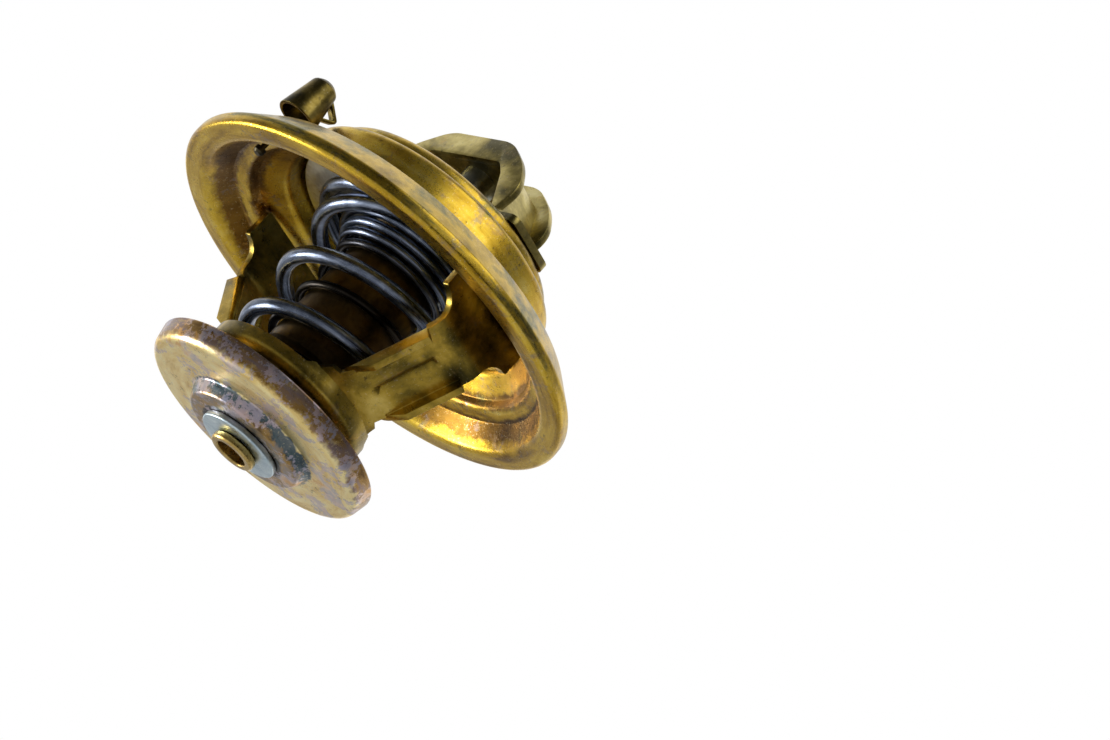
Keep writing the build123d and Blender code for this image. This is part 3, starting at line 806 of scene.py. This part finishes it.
def fitted(name, outline, radii, material, node, body, segments=160):
    """Small turned piece from an outline with rounded corners, in place of a node."""
    piece = turned(name, rounded(outline, radii, 5, closed=True), material, segments)
    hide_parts(node)
    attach(piece, body)
    return piece


DISC_SHEET = 1.1
disc_line = [(3.08, -26.8), (9.2, -26.8), (10.1, -24.8), (17.6, -24.8), (18.3, -21.6)]
disc = turned("bypass_plate", sheet_section(disc_line, [0.7, 0.55, 1.3], DISC_SHEET, 0.25, 8),
              disc_plating, 280)
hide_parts("bypass_disc")
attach(disc, "bypass")

HOOD_ANGLE, HOOD_RADIUS = -101.8, 26.3
place_hood = (Matrix.Rotation(math.radians(HOOD_ANGLE), 4, "Z")
              @ Matrix.Translation((HOOD_RADIUS * MM, 0, 0)))
thimble_line = [(0, 16.1), (1.1, 16.0), (2.05, 15.2), (3.05, 9.2), (2.5, 9.2), (1.5, 14.9), (0.9, 15.4),
                (0, 15.5)]
thimble_bends = [0, 1.2, 0.8, 0.1, 0.1, 0.6, 0.8, 0]
thimble = turned("thimble", rounded(thimble_line, thimble_bends, 6, closed=True), vent_plating, 96)
hood_tongue = extruded("tongue", [(-1.7, -2.95), (1.7, -2.95), (1.7, -2.35), (-1.7, -2.35)],
                       lambda across, out, along: (out, across, along), 6.9, 10.2)
loop_section = sheet_section([(-1.7, 14.9), (-4.8, 13.0), (-2.3, 11.3)], [0.5], 0.45, 0.1, 5)
hood_loop = extruded("loop", loop_section, lambda across, out, along: (across, along, out),
                     -0.75, 0.75)
hood = joined("hood", [thimble.data, hood_tongue, hood_loop], vent_plating)
bpy.data.objects.remove(thimble)
hood.data.transform(place_hood)
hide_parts("vent_hood")
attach(hood, "housing")

fitted("washer", [(3.08, -27.75), (6.15, -27.75), (6.15, -26.85), (3.08, -26.85)],
       [0.1, 0.25, 0.15, 0.1], washer_zinc, "retaining_washer", "capsule")
fitted("stem", [(0, -14.4), (3.0, -14.4), (3.0, -27.75), (3.5, -28.1), (3.5, -28.85), (3.25, -29.1),
                (2.5, -29.1), (2.4, -28.9), (2.4, -15.9), (0, -16.8)],
       [0, 0.1, 0.1, 0.15, 0.2, 0.12, 0.12, 0.1, 0.3, 0],
       stem_brass, "bypass_stem", "capsule")
fitted("valve_plate", [(7.2, 11.0), (11.8, 11.0), (12.4, 10.4), (19.9, 10.4), (19.9, 11.4),
                       (12.4, 11.4), (11.8, 12.0), (7.2, 12.0)],
       [0.1, 0.5, 0.5, 0.2, 0.2, 0.5, 0.5, 0.1],
       valve_steel, "main_valve_disc", "capsule", 240)

# The pieces that keep their solid, and those behind the ones made above, in the same finishes.
for material, names in ((hat_plating, ("flange_hat",)), (cage_plating, ("cage_frame",)),
                        (bridge_plating, ("top_bridge",)), (disc_plating, ("bypass_disc",)),
                        (vent_plating, ("vent_hood",)), (vent_steel, ("vent_pin",)),
                        (pin_steel, ("pin_seat", "piston_pin")), (wax, ("wax_charge",)),
                        (seal_rubber, ("valve_seal", "rubber_sleeve")),
                        (capsule_brass, ("element_cup",)), (backing_plastic, ("backing_ring",)),
                        (stem_brass, ("element_guide", "bypass_stem")),
                        (washer_zinc, ("retaining_washer",)),
                        (valve_steel, ("main_valve_disc",)),
                        (spring_steel, ("main_spring", "bypass_spring"))):
    for node in names:
        slots = nodes[node].data.materials
        if len(slots) == 0:
            slots.append(material)
        for i in range(len(slots)):
            slots[i] = material


# ---------------------------------------------------------------- camera, lamps, floor

turn, rise, roll = math.radians(50), math.radians(-22.955), math.radians(40.555)
right = Vector((math.cos(turn), math.sin(turn), 0))
toward = Vector((math.sin(turn), -math.cos(turn), 0))
up = -math.sin(rise) * toward + math.cos(rise) * Vector((0, 0, 1))
back = math.cos(rise) * toward + math.sin(rise) * Vector((0, 0, 1))
view_x = math.cos(roll) * right + math.sin(roll) * up
view_y = -math.sin(roll) * right + math.cos(roll) * up


def in_view(x, y, z):
    """Point given along the view's right, its up and towards the viewer, in metres."""
    return view_x * x + view_y * y + back * z


lens = bpy.data.cameras.new("view")
lens.lens = 71.65
lens.sensor_width = 36
lens.clip_start = 0.01
camera = bpy.data.objects.new("view", lens)
scene.collection.objects.link(camera)
eye = in_view(0.02639, -0.00881, 0.30773) - Vector((0, 0, 0.0004))
camera.matrix_world = Matrix.Translation(eye) @ Matrix((view_x, view_y, back)).transposed().to_4x4()
scene.camera = camera


def lamp(name, place, size, power):
    """Soft box that faces the object."""
    light = bpy.data.lights.new(name, "AREA")
    light.shape = "RECTANGLE"
    light.size, light.size_y = size
    light.energy = power
    item = bpy.data.objects.new(name, light)
    scene.collection.objects.link(item)
    item.location = place
    item.rotation_euler = place.to_track_quat("Z", "Y").to_euler()


lamp("left_box", in_view(-0.50, -0.12, 0.05), (0.25, 0.45), 6.5)
lamp("low_box", in_view(-0.10, -0.55, 0.10), (0.40, 0.20), 2.6)
lamp("front_box", in_view(-0.35, -0.30, 0.45), (0.30, 0.30), 5.0)
lamp("right_box", in_view(0.42, 0.30, 0.16), (0.40, 0.50), 1.1)

# White to the eye; metal mirrors the same white from behind the object and a dim room in front.
world = bpy.data.worlds.new("studio")
scene.world = world
world.use_nodes = True
w = world.node_tree
w.nodes.clear()


def world_node(kind, *sources):
    """Node of the world with its first inputs linked."""
    node = w.nodes.new(kind)
    for source, target in zip(sources, node.inputs):
        w.links.new(source, target)
    return node


def world_sum(operation, a, b):
    """One sum of two of the world's sockets."""
    node = world_node("ShaderNodeMath", a, b)
    node.operation = operation
    return node.outputs[0]


way = world_node("ShaderNodeLightPath").outputs
facing = world_node("ShaderNodeVectorMath", world_node("ShaderNodeTexCoord").outputs["Generated"])
facing.operation = "DOT_PRODUCT"
facing.inputs[1].default_value = in_view(0.12, 0.12, 1.0).normalized()
turned_to = world_node("ShaderNodeMapRange", facing.outputs["Value"])
turned_to.inputs["From Min"].default_value = -1.0
dim = world_node("ShaderNodeValToRGB", turned_to.outputs[0])
for position, shade in ((0.2, 0.95), (0.36, 0.42), (0.55, 0.13), (0.8, 0.05)):
    stop = dim.color_ramp.elements.new(position)
    stop.color = (shade, shade, shade * 1.03, 1)
dim.color_ramp.elements[0].color = (1, 1, 1, 1)
dim.color_ramp.elements[-1].color = (0.01, 0.01, 0.01, 1)
behind = world_node("ShaderNodeMapRange", turned_to.outputs[0])
for label, value in (("From Min", 0.2), ("From Max", 0.36), ("To Min", 1.0), ("To Max", 0.0)):
    behind.inputs[label].default_value = value
room = world_node("ShaderNodeBackground", dim.outputs["Color"])
white = world_node("ShaderNodeBackground")
white.inputs["Color"].default_value = (1, 1, 1, 1)
seen_in_metal = world_sum("MAXIMUM", way["Is Glossy Ray"], way["Is Transmission Ray"])
seen_in_metal = world_sum("MULTIPLY", seen_in_metal, behind.outputs[0])
shown = world_sum("MAXIMUM", way["Is Camera Ray"], seen_in_metal)
both = world_node("ShaderNodeMixShader", shown, room.outputs[0], white.outputs[0])
world_node("ShaderNodeOutputWorld", both.outputs[0])

FLOOR_HALF, FLOOR_HEIGHT = 3, -0.35
corners = [(x * FLOOR_HALF, y * FLOOR_HALF, FLOOR_HEIGHT)
           for x, y in ((-1, -1), (1, -1), (1, 1), (-1, 1))]
floor_mesh = bpy.data.meshes.new("floor")
floor_mesh.from_pydata(corners, [], [(0, 1, 2, 3)])
floor = bpy.data.objects.new("floor", floor_mesh)
scene.collection.objects.link(floor)
floor_mesh.materials.append(matt("floor_paper", (0.86, 0.86, 0.86), (0.9, 0.9, 0.9), 0.8, 0.02))

scene.view_settings.view_transform = "Standard"
